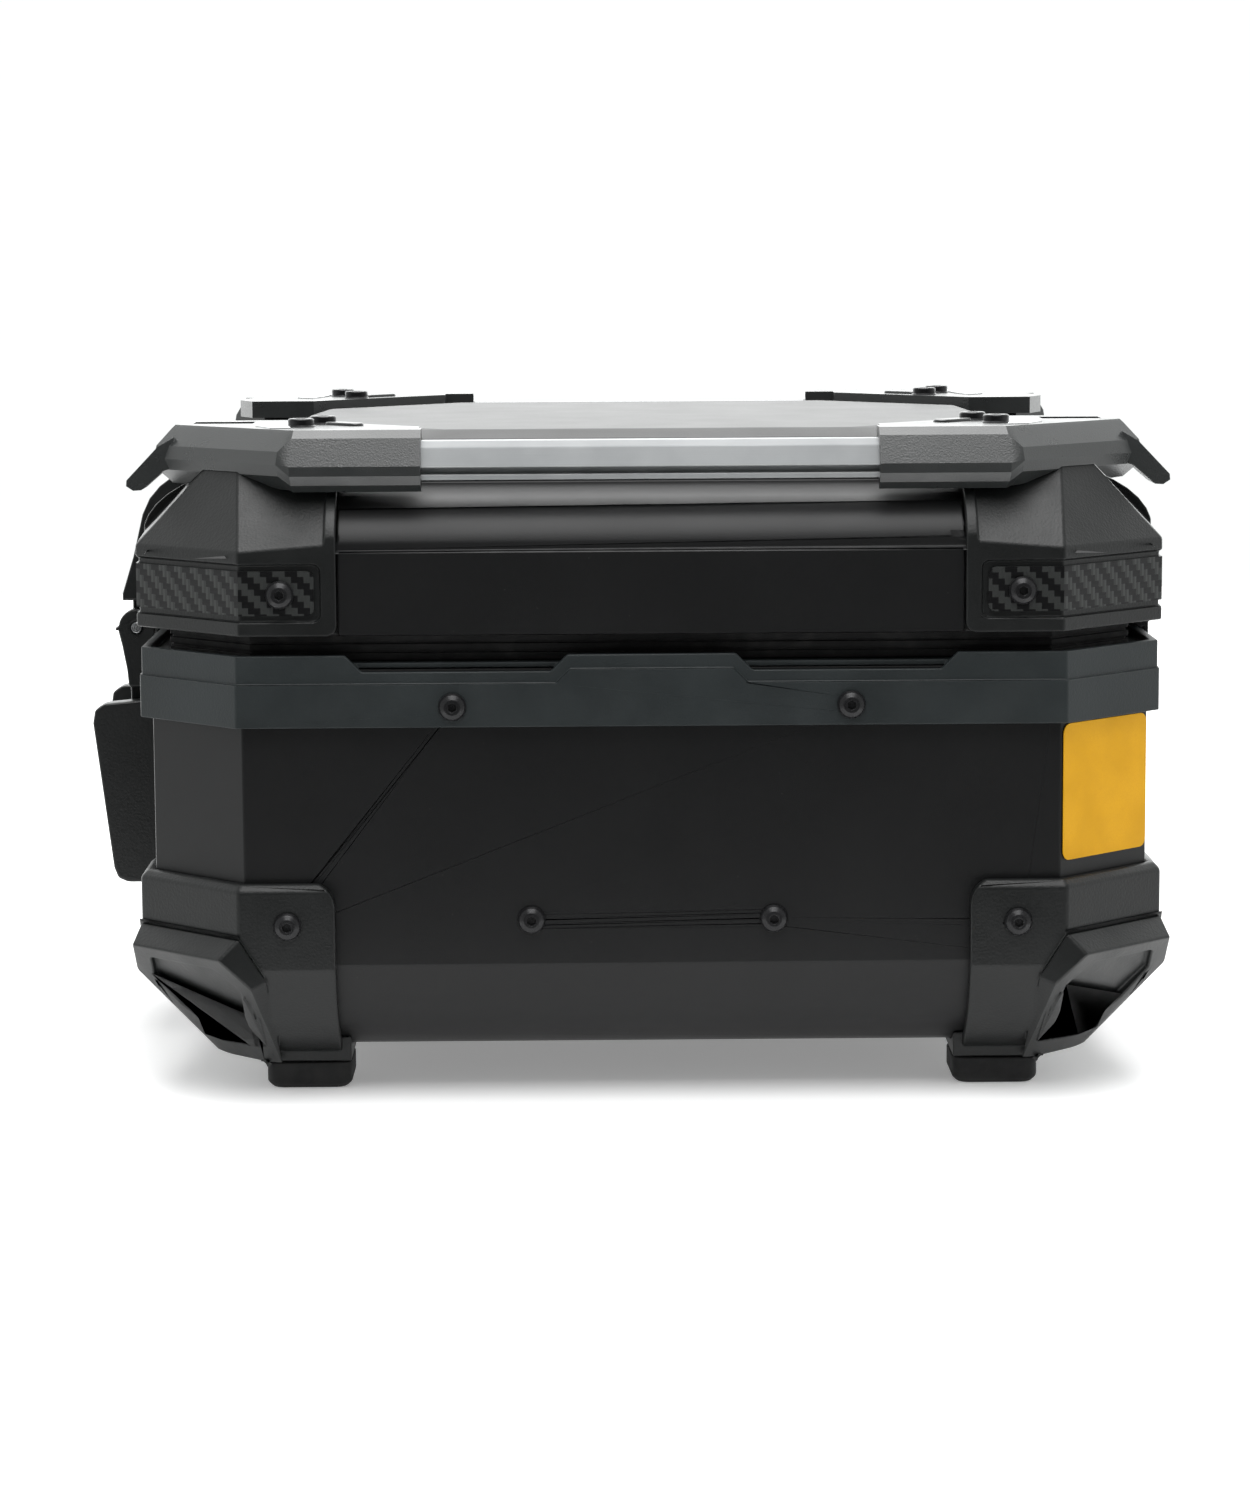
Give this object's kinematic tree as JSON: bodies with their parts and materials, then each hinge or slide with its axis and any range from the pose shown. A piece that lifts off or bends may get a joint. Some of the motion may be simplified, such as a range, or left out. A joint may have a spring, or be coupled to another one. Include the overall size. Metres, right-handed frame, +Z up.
{
  "type": "motorcycle top case",
  "caption": "Rigid motorcycle top case with 45 degree corners, armoured guards, a hinged lid with a luggage rail and a hasp latch.",
  "frame": {"origin": "centre of the underside of the floor, where the case rests on a rack; the rubber feet reach below it", "axes": "+Z up, +X from the latch side to the hinge side, -Y towards the long face with the viewer"},
  "size_m": [0.4805, 0.406, 0.2865],
  "materials": {
    "shell_coat": "satin black powder coat on aluminium sheet",
    "rim_plastic": "fine-grained dark grey moulding",
    "guard_plastic": "fine-grained charcoal moulding",
    "corner_plastic": "fine-grained grey moulding",
    "rail_coat": "grey satin coat on an extruded bar",
    "seal_rubber": "matte black rubber",
    "carbon_trim": "twill weave pattern under a clear coat",
    "black_steel": "black oxide steel",
    "bright_steel": "bright steel",
    "amber_reflector": "amber reflective sheet"
  },
  "bodies": {
    "base": {"base_shell": "shell_coat", "rim_frame": "rim_plastic", "base_guard_front_left": "guard_plastic", "base_guard_front_right": "guard_plastic", "base_guard_rear_left": "guard_plastic", "base_guard_rear_right": "guard_plastic", "latch_housing": "guard_plastic", "rim_seal": "seal_rubber", "foot_front_left": "seal_rubber", "foot_front_right": "seal_rubber", "foot_rear_left": "seal_rubber", "foot_rear_right": "seal_rubber", "panel_screw_front_left": "black_steel", "panel_screw_front_right": "black_steel", "panel_screw_rear_left": "black_steel", "panel_screw_rear_right": "black_steel", "rim_screw_front_left": "black_steel", "rim_screw_front_right": "black_steel", "rim_screw_rear_left": "black_steel", "rim_screw_rear_right": "black_steel", "guard_screw_front_left": "black_steel", "guard_screw_front_right": "black_steel", "guard_screw_rear_left": "black_steel", "guard_screw_rear_right": "black_steel", "hinge_leaf_base_front": "black_steel", "hinge_leaf_base_rear": "black_steel", "hinge_pin_front": "bright_steel", "hinge_pin_rear": "bright_steel", "reflector_front_right": "amber_reflector", "reflector_rear_right": "amber_reflector"},
    "lid": {"lid_shell": "shell_coat", "lid_lip": "guard_plastic", "lid_guard_front_left": "guard_plastic", "lid_guard_front_right": "guard_plastic", "lid_guard_rear_left": "guard_plastic", "lid_guard_rear_right": "guard_plastic", "lid_trim_front_left": "carbon_trim", "lid_trim_front_right": "carbon_trim", "lid_trim_rear_left": "carbon_trim", "lid_trim_rear_right": "carbon_trim", "trim_screw_front_left": "black_steel", "trim_screw_front_right": "black_steel", "trim_screw_rear_left": "black_steel", "trim_screw_rear_right": "black_steel", "rail_corner_front_left": "corner_plastic", "rail_corner_front_right": "corner_plastic", "rail_corner_rear_left": "corner_plastic", "rail_corner_rear_right": "corner_plastic", "rail_bar_front": "rail_coat", "rail_bar_rear": "rail_coat", "hasp_bracket": "guard_plastic", "hasp_pin": "bright_steel", "hinge_leaf_lid_front": "black_steel", "hinge_leaf_lid_rear": "black_steel"},
    "hasp": {"hasp": "guard_plastic"},
    "lock_cylinder": {"lock_cylinder": "bright_steel"},
    "lock_bolt": {"lock_bolt": "bright_steel"}
  },
  "joints": [
    {"name": "lid_hinge", "type": "hinge", "parent": "base", "child": "lid", "pos_m": [0.219, 0, 0.1812], "axis": [0, 1, 0], "range_deg": [0, 90]},
    {"name": "hasp_swing", "type": "hinge", "parent": "lid", "child": "hasp", "pos_m": [-0.234, 0, 0.1735], "axis": [0, 1, 0], "range_deg": [0, 95]},
    {"name": "lock_turn", "type": "hinge", "parent": "base", "child": "lock_cylinder", "pos_m": [-0.2495, 0, 0.078], "axis": [1, 0, 0], "range_deg": [0, 90]},
    {"name": "bolt_slide", "type": "slide", "parent": "base", "child": "lock_bolt", "axis": [0, 0, 1], "range_m": [0, 0.007]}
  ],
  "couplings": [
    {"joint": "bolt_slide", "follows": "lock_turn", "m_per_rad": 0.004456}
  ]
}
